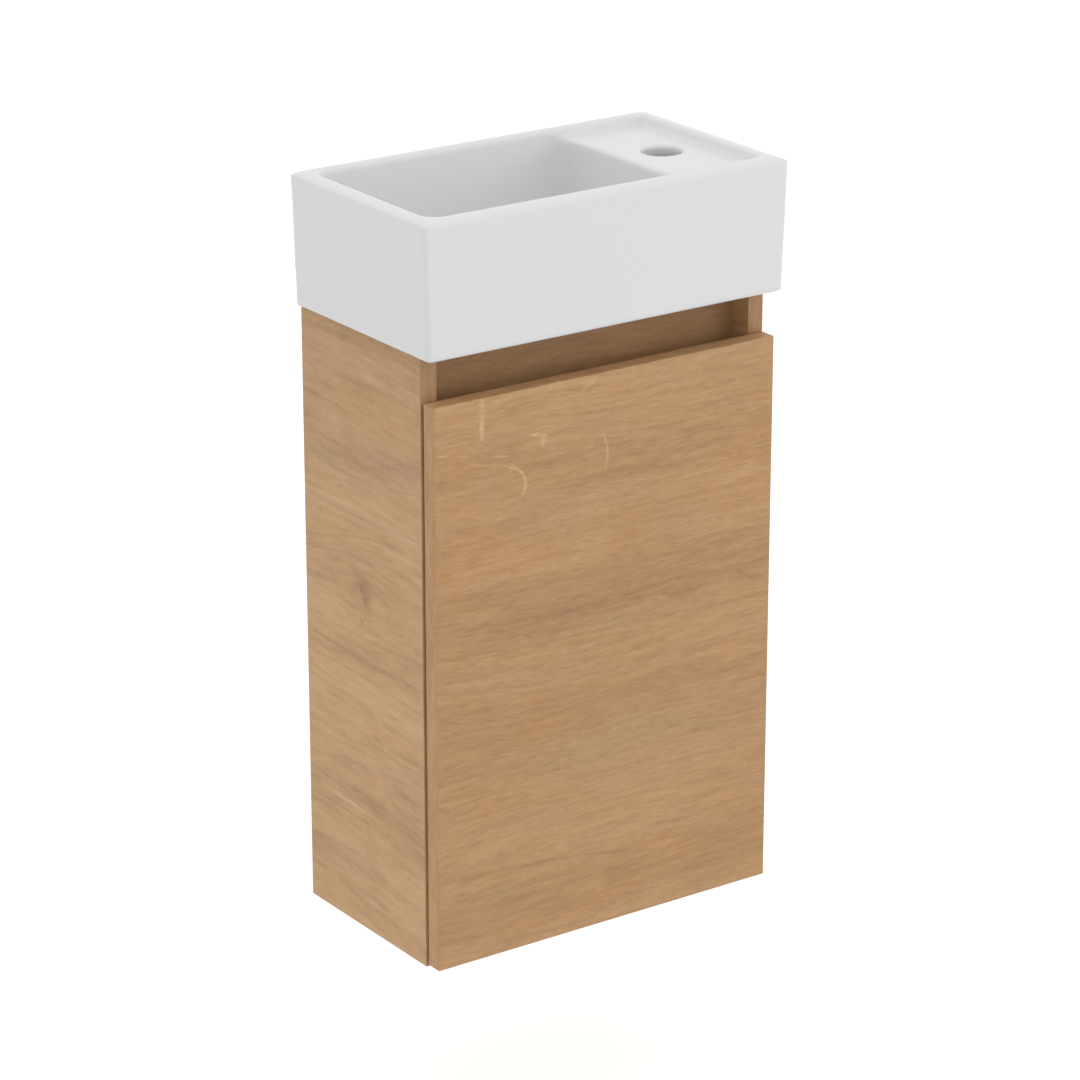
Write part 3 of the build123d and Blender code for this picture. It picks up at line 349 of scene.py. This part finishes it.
# On the side, along is Y, so the front is at the low end
sideMarks = [
    # painted shade: the upper part of the left side's outer face darker, fading out downwards
    ("shade", (110, 540), (-110, 540), 0, 240, 0.0, 0.0, 0.2, 0.80),
    ("amber", (50, 488), (-100, 484), 0, 28, 0.0, 0.5, 0.4, 0.50),
    ("mauve", (100, 450), (-100, 455), -10, 18, 0.0, 0.3, 0.4, 0.58),
    ("mauve", (0, 446), (-110, 459), -2, 16, 0.0, 0.6, 0.2, 0.46),
    ("mauve", (40, 414), (-14, 412), 0, 10, 0.0, 0.8, 0.4, 0.50),
    ("olive", (110, 430), (-100, 424), 0, 24, 0.0, 0.3, 0.5, 0.30),
    ("rose", (100, 384), (-100, 391), -3, 9, 0.0, 0.3, 0.45, 0.60),
    ("umber", (100, 386), (-100, 392), -3, 2.6, 0.0, 0.3, 0.5, 0.42),
    ("umber", (100, 424), (-100, 436), -9, 2.6, 0.0, 0.3, 0.5, 0.36),
    ("umber", (100, 340), (-100, 372), 14, 2.6, 0.0, 0.3, 0.5, 0.34),
    ("straw", (20, 351), (-100, 354), -2, 11, 0.0, 0.6, 0.4, 0.50),
    ("rose", (110, 312), (30, 280), -3, 15, 0.0, 0.6, 0.5, 0.60),
    ("olive", (4, 318), (-110, 296), 4, 28, 0.0, 0.6, 0.4, 0.40),
    ("olive", (110, 256), (-10, 262), 4, 20, 0.0, 0.5, 0.4, 0.30),
    ("umber", (90, 258), (-100, 257), -3, 3.4, 0.0, 0.3, 0.5, 0.50),
    ("umber", (100, 238), (-100, 232), 4, 2.6, 0.0, 0.3, 0.5, 0.34),
    ("umber", (100, 278), (-100, 282), -5, 2.6, 0.0, 0.3, 0.6, 0.30),
    ("mauve", (-30, 259), (-110, 256), 0, 6, 0.0, 0.5, 0.3, 0.34),
    ("rose", (20, 226), (-40, 224), 0, 4, 0.0, 0.8, 0.3, 0.60),
    ("amber", (20, 196), (-90, 195), 0, 11, 0.0, 0.6, 0.4, 0.52),
    ("umber", (20, 186), (-100, 184), 0, 2.8, 0.0, 0.4, 0.5, 0.44),
    ("rose", (30, 150), (-110, 160), 0, 34, 0.0, 0.6, 0.4, 0.60),
    ("amber", (-12, 155), (-17, 86), 0, 22, 0.0, 0.5, 0.45, 0.34),
    ("pale", (68, 115), (14, 111), 0, 8, 0.0, 0.8, 0.5, 0.40),
    ("mauve", (120, 50), (-14, 58), 4, 23, 0.0, 0.6, 0.3, 0.70),
    ("umber", (100, 62), (0, 66), 3, 3.0, 0.0, 0.4, 0.5, 0.44),
    ("umber", (100, 128), (-100, 122), -4, 2.6, 0.0, 0.3, 0.6, 0.30),
    ("rose", (30, 22), (-100, 34), 5, 12, 0.0, 0.6, 0.4, 0.40),
    # the knot
    ("mauve", (26, 336), (2, 306), 4, 21, 0.0, 0.5, 0.3, 0.50),
    ("umber", (22, 334), (4, 314), 3, 15, 0.0, 0.5, 0.2, 0.36),
    ("knot", (15, 323), (11, 318), 0, 4.4, 0.0, 0.5, 0.1, 0.42),
    ("knot", (9, 313), (6, 307), 0, 4.8, 0.0, 0.5, 0.1, 0.44),
    ("knot", (15, 293), (12, 288), 0, 4.6, 0.0, 0.5, 0.1, 0.36),
]
axisOrder = {"X": (0, 2, 1), "Y": (1, 2, 0), "flatX": (0, 1, 2)}


# A board's oak: the figure follows the grain on the faces and runs upright on the edge bands, which start
# where the band axis passes bandFrom. Marks count depth tenfold, so that they stay on the face they are on.
def oakMaterial(name, grain, look, seed, bandAxis=None, bandFrom=0.0, bandSign=1.0, marks=(), markDepth=0.0,
                knot=None, paintedBandShade=None):
    material, tree, surface = newMaterial(name)
    point = objectPoint(tree)
    parts = put(tree, "ShaderNodeSeparateXYZ", {0: point}).outputs
    order = axisOrder[grain]
    flat = put(tree, "ShaderNodeCombineXYZ", {i: parts[axis] for i, axis in enumerate(order)}).outputs[0]
    along = flat
    if bandAxis is not None:
        upright = put(tree, "ShaderNodeCombineXYZ", {0: parts[2], 1: parts[order[2]], 2: parts[0]}).outputs[0]
        reach = parts[bandAxis]
        reach = maths(tree, "ABSOLUTE", reach) if bandSign == 0 else maths(tree, "MULTIPLY", reach, bandSign)
        onBand = maths(tree, "GREATER_THAN", reach, bandFrom)
        pick = put(tree, "ShaderNodeMix", {"Factor": onBand}, data_type="VECTOR")
        tree.links.new(flat, next(i for i in pick.inputs if i.identifier == "A_Vector"))
        tree.links.new(upright, next(i for i in pick.inputs if i.identifier == "B_Vector"))
        along = next(o for o in pick.outputs if o.identifier == "Result_Vector")
    tone = oak[look]
    figure = put(tree, "ShaderNodeGroup", node_tree=oakFigure)
    figure.inputs["Seed"].default_value = seed
    for key in ("slope", "wander", "bands", "flakes", "streaks", "fibres", "pores"):
        figure.inputs[key.capitalize()].default_value = tone[key]
    for key in ("base", "light", "dark", "warm", "cool"):
        figure.inputs[key.capitalize()].default_value = (*tone[key], 1.0)
    if knot is not None:
        figure.inputs["Knot"].default_value = (knot[0] * 0.001, knot[1] * 0.001, markDepth)
        figure.inputs["Knot Size"].default_value = knot[2] * 0.001
    tree.links.new(along, figure.inputs["Point"])
    colourNow = figure.outputs["Color"]
    # Marks multiply the colour: most are the oak's own figure, while the side's shade mark is painted shade
    if marks:
        deep = maths(tree, "MULTIPLY", parts[order[2]], 10.0)
        onFace = put(tree, "ShaderNodeCombineXYZ", {0: parts[order[0]], 1: parts[order[1]], 2: deep}).outputs[0]
        for shade, start, end, bow, width, core, taper, broken, strength in marks:
            mark = tree.nodes.new("ShaderNodeGroup")
            mark.node_tree = boardMark
            tree.links.new(onFace, mark.inputs["Point"])
            mark.inputs["Start"].default_value = (start[0] * 0.001, start[1] * 0.001, markDepth * 10.0)
            mark.inputs["End"].default_value = (end[0] * 0.001, end[1] * 0.001, markDepth * 10.0)
            for key, value in (("Bow", bow * 0.001), ("Width", width * 0.001), ("Core", core), ("Taper", taper),
                               ("Broken", broken), ("Strength", strength)):
                mark.inputs[key].default_value = value
            colourNow = mixColour(tree, mark.outputs["Mask"], colourNow, markTints[shade], "MULTIPLY")
    # painted shade: the edge band is darkened by this factor
    if paintedBandShade is not None:
        colourNow = mixColour(tree, onBand, colourNow, paintedBandShade, "MULTIPLY")
    setSurface(tree, surface, base=colourNow, roughness=figure.outputs["Roughness"],
               specular=0.35, normal=bump(tree, figure.outputs["Height"], 0.00012))
    return material


def dress(node, material):
    mesh = nodes[node].data
    mesh.materials.clear()
    mesh.materials.append(material)


doorLow, doorHigh = boxOf("door")
sideLow, sideHigh = boxOf("side_panel_left")
bandSkin = 0.0004
dress("door", oakMaterial("doorOak", "X", "door", 0.0, bandAxis=0, bandFrom=doorHigh[0] - bandSkin, bandSign=0,
                          marks=doorMarks, markDepth=doorLow[1]))
dress("side_panel_left", oakMaterial("leftSideOak", "Y", "side", 3.1, bandAxis=1,
                                     bandFrom=-(sideLow[1] + bandSkin), bandSign=-1, paintedBandShade=paintedBandShades["left"],
                                     marks=sideMarks, markDepth=sideLow[0], knot=(11, 314, 13)))
dress("side_panel_right", oakMaterial("rightSideOak", "Y", "side", 7.7, bandAxis=1,
                                      bandFrom=-(sideLow[1] + bandSkin), bandSign=-1, paintedBandShade=paintedBandShades["right"]))
dress("bottom_panel", oakMaterial("bottomOak", "flatX", "side", 12.3))
# the recess rail gets the darkened oak, painted shade for its recess
dress("recess_rail", oakMaterial("recessOakPaintedShade", "X", "rail", 17.9))
dress("back_rail", oakMaterial("backRailOak", "X", "side", 23.4))
dress("shelf", oakMaterial("shelfOak", "flatX", "side", 29.2))
print("oak boards dressed")


# Glazed ceramic
ceramic = {
    "base": (0.815, 0.815, 0.818), "roughness": 0.20, "waviness": 0.00003,
    "voxel": 0.0021,         # size of the remesh that the glaze's softness needs
    "softening": 5,          # rounds of smoothing after it
    "crispBack": 0.009,      # the wall side stays crisp this far in
    "crown": 0.0014,         # the rim falls this much towards the outside
    "crownWidth": 0.016,
    "crownDepth": 0.006,
}


def ceramicMaterial():
    material, tree, surface = newMaterial("whiteGlaze")
    point = objectPoint(tree)
    cloud = noise(tree, point, (9.0, 9.0, 9.0), detail=2.0)
    ripple = noise(tree, point, (28.0, 28.0, 28.0), detail=1.0)
    low, high = [tuple(c * f for c in ceramic["base"]) for f in (0.985, 1.01)]
    base = mixColour(tree, cloud, low, high)
    rough = ceramic["roughness"]
    setSurface(tree, surface, base=base, roughness=ramp(tree, cloud, 0.3, 0.7, rough - 0.03, rough + 0.03),
               normal=bump(tree, ripple, ceramic["waviness"]))
    return material


def applied(piece):
    return bpy.data.meshes.new_from_object(piece.evaluated_get(bpy.context.evaluated_depsgraph_get()))


def pointsOf(mesh):
    points = np.empty(len(mesh.vertices) * 3)
    mesh.vertices.foreach_get("co", points)
    return points.reshape(-1, 3)


# The cast basin: its solid merged, remeshed and, but for the wall side, smoothed. Near the rim each point sinks by
# the crown times the square of how far it lies outside the crown's inner line, as a share of the crown's width.
def makeBasin():
    shell = bmesh.new()
    shell.from_mesh(nodes["basin"].data)
    bmesh.ops.remove_doubles(shell, verts=shell.verts, dist=0.000001)
    mesh = bpy.data.meshes.new("castBasin")
    shell.to_mesh(mesh)
    shell.free()
    basin = bpy.data.objects.new("castBasin", mesh)
    bpy.context.scene.collection.objects.link(basin)
    low, high = boxOf("basin")
    remesh = basin.modifiers.new("remesh", "REMESH")
    remesh.mode = "VOXEL"
    remesh.voxel_size = ceramic["voxel"]
    remesh.use_smooth_shade = True
    basin.data = applied(basin)
    basin.modifiers.clear()
    points = pointsOf(basin.data)
    soft = np.flatnonzero(points[:, 1] < high[1] - ceramic["crispBack"])
    basin.vertex_groups.new(name="soft").add(soft.tolist(), 1.0, "REPLACE")
    smooth = basin.modifiers.new("smooth", "SMOOTH")
    smooth.factor = 0.5
    smooth.iterations = ceramic["softening"]
    smooth.vertex_group = "soft"
    finished = applied(basin)
    basin.modifiers.clear()
    basin.data = finished
    points = pointsOf(finished)
    inside = np.minimum(points[:, 0] - low[0], high[0] - points[:, 0])
    inside = np.minimum(inside, points[:, 1] - low[1])
    share = np.clip(1.0 - inside / ceramic["crownWidth"], 0.0, 1.0)
    nearRim = np.clip((points[:, 2] - high[2]) / ceramic["crownDepth"] + 1.0, 0.0, 1.0)
    points[:, 2] -= ceramic["crown"] * share ** 2 * nearRim
    finished.vertices.foreach_set("co", points.ravel())
    finished.update()
    finished.materials.clear()
    finished.materials.append(ceramicMaterial())
    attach(basin, bodyOfNode["basin"])
    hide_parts("basin")
    print("basin cast with", len(finished.polygons), "faces")


dress("basin", ceramicMaterial())
makeBasin()


# Metals and small parts
def metalMaterial(name, colour, roughness, brush):
    material, tree, surface = newMaterial(name)
    point = objectPoint(tree)
    scratch = noise(tree, point, brush, detail=2.0)
    patch = noise(tree, point, (60.0, 60.0, 60.0), detail=2.0)
    base = mixColour(tree, patch, tuple(c * 0.9 for c in colour), tuple(min(c * 1.06, 1.0) for c in colour))
    setSurface(tree, surface, base=base, metallic=1.0,
               roughness=ramp(tree, scratch, 0.3, 0.7, roughness - 0.04, roughness + 0.05),
               normal=bump(tree, scratch, 0.000003))
    return material


def plainMaterial(name, colour, roughness, grain=400.0, depth=0.00003):
    material, tree, surface = newMaterial(name)
    speck = noise(tree, objectPoint(tree), (grain, grain, grain), detail=3.0)
    base = mixColour(tree, speck, tuple(c * 0.9 for c in colour), tuple(min(c * 1.08, 1.0) for c in colour))
    setSurface(tree, surface, base=base, roughness=ramp(tree, speck, 0.3, 0.7, roughness - 0.05, roughness + 0.05),
               normal=bump(tree, speck, depth))
    return material


nickel = metalMaterial("nickelPlate", (0.72, 0.70, 0.66), 0.32, (300.0, 40.0, 300.0))
zinc = metalMaterial("zincPlate", (0.66, 0.67, 0.69), 0.36, (200.0, 200.0, 60.0))
beech = plainMaterial("beechDowel", (0.60, 0.42, 0.25), 0.6)
hardboard = plainMaterial("hardboard", (0.42, 0.27, 0.15), 0.7, grain=700.0)
sealant = plainMaterial("silicone", (0.80, 0.80, 0.79), 0.35)
softPad = plainMaterial("softPad", (0.70, 0.71, 0.72), 0.4)
slotMaterial = {"back_board": hardboard, "beech_dowel": beech, "white_sealant": sealant, "clear_rubber": softPad,
                "zinc_steel": zinc, "nickel_steel": nickel}
for subpart in frame["record"]["subparts"]:
    if subpart["material_slot"] in slotMaterial:
        dress(subpart["node"], slotMaterial[subpart["material_slot"]])
print("small parts dressed")


# Screws and stops, in millimetres: the middle of each head with the way it faces, the head's radius and dome, the
# rest as (radius, depth), and a cross recess as half width, reach and depth
woodScrew = {"head": (4.0, 0.5), "rest": [(4.0, 1.2), (3.8, 1.95), (2.0, 2.0), (2.0, 12.6), (0.8, 14.0)],
             "cross": (0.55, 2.4, 1.1)}
turned = {
    "plate_screws": {**woodScrew, "heads": [((157.5, -44.5, z), (-1, 0, 0)) for z in (86.0, 118.0, 397.5, 429.5)]},
    "cup_screws": {**woodScrew, "heads": [((147.1, -80.3, z), (0, 1, 0)) for z in (79.5, 124.5, 391.0, 436.0)]},
    "arm_screws": {
        "head": (3.5, 0.35), "rest": [(3.5, 1.1), (3.35, 1.55), (2.5, 1.6), (2.5, 10.2), (2.1, 10.75)],
        "cross": (0.5, 2.1, 0.9),
        "heads": [((144.0, y, z), (-1, 0, 0)) for y in (-54.5, -34.5) for z in (102.0, 413.5)],
    },
    "hanger_screws": {
        "head": (5.0, 0.6), "rest": [(5.0, 1.6), (4.8, 2.4), (3.0, 2.5), (3.0, 27.6), (1.4, 29.0)],
        "cross": (0.7, 3.0, 1.5),
        "heads": [((side * 145.5, y, 440.0), (-side, 0, 0)) for side in (-1, 1) for y in (50.5, 72.5)],
    },
    "hanger_adjusters": {
        "head": (3.0, 0.1), "rest": [(3.0, 0.3), (3.0, 9.6), (2.6, 10.0)], "cross": (0.5, 1.9, 1.2),
        "heads": [((side * 155.0, 40.5, z), (0, -1, 0)) for side in (-1, 1) for z in (429.0, 451.0)],
    },
    "door_bumpers": {
        "head": (3.5, 0.5), "rest": [(3.85, 0.8), (4.0, 1.2), (4.0, 1.9)], "cross": None,
        "heads": [((-170.5, -81.6, z), (0, 1, 0)) for z in (30.0, 485.5)],
    },
}


# A turned piece: radius and depth swept round its axis, the dome's depth growing with the square of the radius.
# Points within the bars of a cross sink by the recess's depth.
def makeTurned(node, material, sides=64, rings=18):
    kind = turned[node]
    headRadius, dome = kind["head"]
    steps = np.linspace(0.0, 1.0, rings)
    restRadius, restDepth = np.array(kind["rest"]).T
    radius = np.concatenate([steps * headRadius, restRadius, [0.0]])
    depth = np.concatenate([steps ** 2 * dome, restDepth, restDepth[-1:]])
    count = len(radius)
    angle = np.arange(sides) * 2 * np.pi / sides
    corners, faces = [], []
    ring, turn = np.meshgrid(np.arange(count - 1), np.arange(sides), indexing="ij")
    beside = (turn + 1) % sides
    quads = np.stack([ring * sides + turn, ring * sides + beside, (ring + 1) * sides + beside,
                      (ring + 1) * sides + turn], axis=-1).reshape(-1, 4)
    for number, (place, facing) in enumerate(kind["heads"]):
        x, y = radius[:, None] * np.cos(angle), radius[:, None] * np.sin(angle)
        sunk = np.repeat(depth[:, None], sides, axis=1)
        if kind["cross"]:
            bar, reach, sink = kind["cross"]
            narrow, wide = np.minimum(np.abs(x), np.abs(y)), np.maximum(np.abs(x), np.abs(y))
            pressed = np.clip((bar - narrow) / 0.2 + 0.5, 0, 1) * np.clip((reach - wide) / 0.4 + 0.5, 0, 1)
            pressed[rings:] = 0.0
            sunk = sunk + sink * pressed
        twist = 0.7 * number + 0.4
        x, y = x * np.cos(twist) - y * np.sin(twist), x * np.sin(twist) + y * np.cos(twist)
        out = np.array(facing, float)
        up = np.array((0.0, 0.0, 1.0))
        side = np.cross(up, out)
        spots = np.array(place) + x[..., None] * side + y[..., None] * up - sunk[..., None] * out
        corners.append(spots.reshape(-1, 3) * 0.001)
        faces.append(quads + number * count * sides)
    name = "".join(word.capitalize() if i else word for i, word in enumerate(node.split("_")))
    mesh = bpy.data.meshes.new(name)
    mesh.from_pydata(np.concatenate(corners).tolist(), [], np.concatenate(faces).tolist())
    closed = bmesh.new()
    closed.from_mesh(mesh)
    bmesh.ops.remove_doubles(closed, verts=closed.verts, dist=0.000001)
    bmesh.ops.recalc_face_normals(closed, faces=closed.faces)
    closed.to_mesh(mesh)
    closed.free()
    mesh.shade_smooth()
    mesh.set_sharp_from_angle(angle=math.radians(40))
    mesh.materials.append(material)
    piece = bpy.data.objects.new(name, mesh)
    bpy.context.scene.collection.objects.link(piece)
    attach(piece, bodyOfNode[node])
    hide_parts(node)


slotOfNode = {subpart["node"]: subpart["material_slot"] for subpart in frame["record"]["subparts"]}
for node in turned:
    makeTurned(node, slotMaterial[slotOfNode[node]])
print("screws and stops turned")


# Floor, world and lamps
studio = {
    "floorHeight": -0.1785,
    "floorReach": 60.0,
    "worldLevel": 0.80,
    "floorColour": 0.80,
    "floorLift": 0.47,
    "lamps": {
        "keyLamp": {"place": (3.4, -3.6, 1.4), "size": 2.4, "watts": 34.0},
        "topLamp": {"place": (-0.6, -0.6, 3.6), "size": 2.6, "watts": 6.0},
        "leftLamp": {"place": (-4.2, -0.6, 0.1), "size": 2.2, "watts": 4.5},
        "backLamp": {"place": (0.9, 2.4, 2.7), "size": 1.8, "watts": 5.0},
    },
    "aim": (0.0, 0.0, 0.30),
}


def makeFloor():
    reach, height = studio["floorReach"], studio["floorHeight"]
    corners = [(-reach, -reach, height), (reach, -reach, height), (reach, reach, height), (-reach, reach, height)]
    mesh = bpy.data.meshes.new("floor")
    mesh.from_pydata(corners, [], [(0, 1, 2, 3)])
    floor = bpy.data.objects.new("floor", mesh)
    bpy.context.scene.collection.objects.link(floor)
    material, tree, surface = newMaterial("floorPaper")
    level = studio["floorColour"]
    paper = noise(tree, objectPoint(tree), (3.0, 3.0, 3.0))
    base = mixColour(tree, paper, (level, level, level), (level * 1.01,) * 3)
    setSurface(tree, surface, base=base, roughness=0.9, specular=0.0)
    path = tree.nodes.new("ShaderNodeLightPath").outputs
    seen = maths(tree, "MAXIMUM", path["Is Camera Ray"],
                 maths(tree, "MAXIMUM", path["Is Glossy Ray"], path["Is Transmission Ray"]))
    lift = put(tree, "ShaderNodeEmission", {"Color": (1, 1, 1, 1),
                                            "Strength": maths(tree, "MULTIPLY", seen, studio["floorLift"])})
    both = put(tree, "ShaderNodeAddShader", {0: surface.outputs[0], 1: lift.outputs[0]})
    out = next(n for n in tree.nodes if n.type == "OUTPUT_MATERIAL")
    tree.links.new(both.outputs[0], out.inputs[0])
    mesh.materials.append(material)


def makeWorld():
    world = bpy.data.worlds.new("studioWorld")
    bpy.context.scene.world = world
    world.use_nodes = True
    tree = world.node_tree
    background = next(n for n in tree.nodes if n.type == "BACKGROUND")
    background.inputs["Color"].default_value = (1, 1, 1, 1)
    path = tree.nodes.new("ShaderNodeLightPath").outputs
    seen = maths(tree, "MAXIMUM", path["Is Camera Ray"],
                 maths(tree, "MAXIMUM", path["Is Glossy Ray"], path["Is Transmission Ray"]))
    tree.links.new(ramp(tree, seen, 0.0, 1.0, studio["worldLevel"], 1.0), background.inputs["Strength"])


def makeLamps():
    aim = np.array(studio["aim"])
    for name, lamp in studio["lamps"].items():
        data = bpy.data.lights.new(name, "AREA")
        data.shape = "SQUARE"
        data.size = lamp["size"]
        data.energy = lamp["watts"]
        light = bpy.data.objects.new(name, data)
        light.visible_glossy = name == "topLamp"
        away = np.array(lamp["place"]) - aim
        light.location = lamp["place"]
        light.rotation_euler = (math.acos(away[2] / np.linalg.norm(away)), 0.0,
                                math.atan2(away[1], away[0]) + math.pi / 2)
        bpy.context.scene.collection.objects.link(light)


makeFloor()
makeWorld()
makeLamps()
print("studio made")
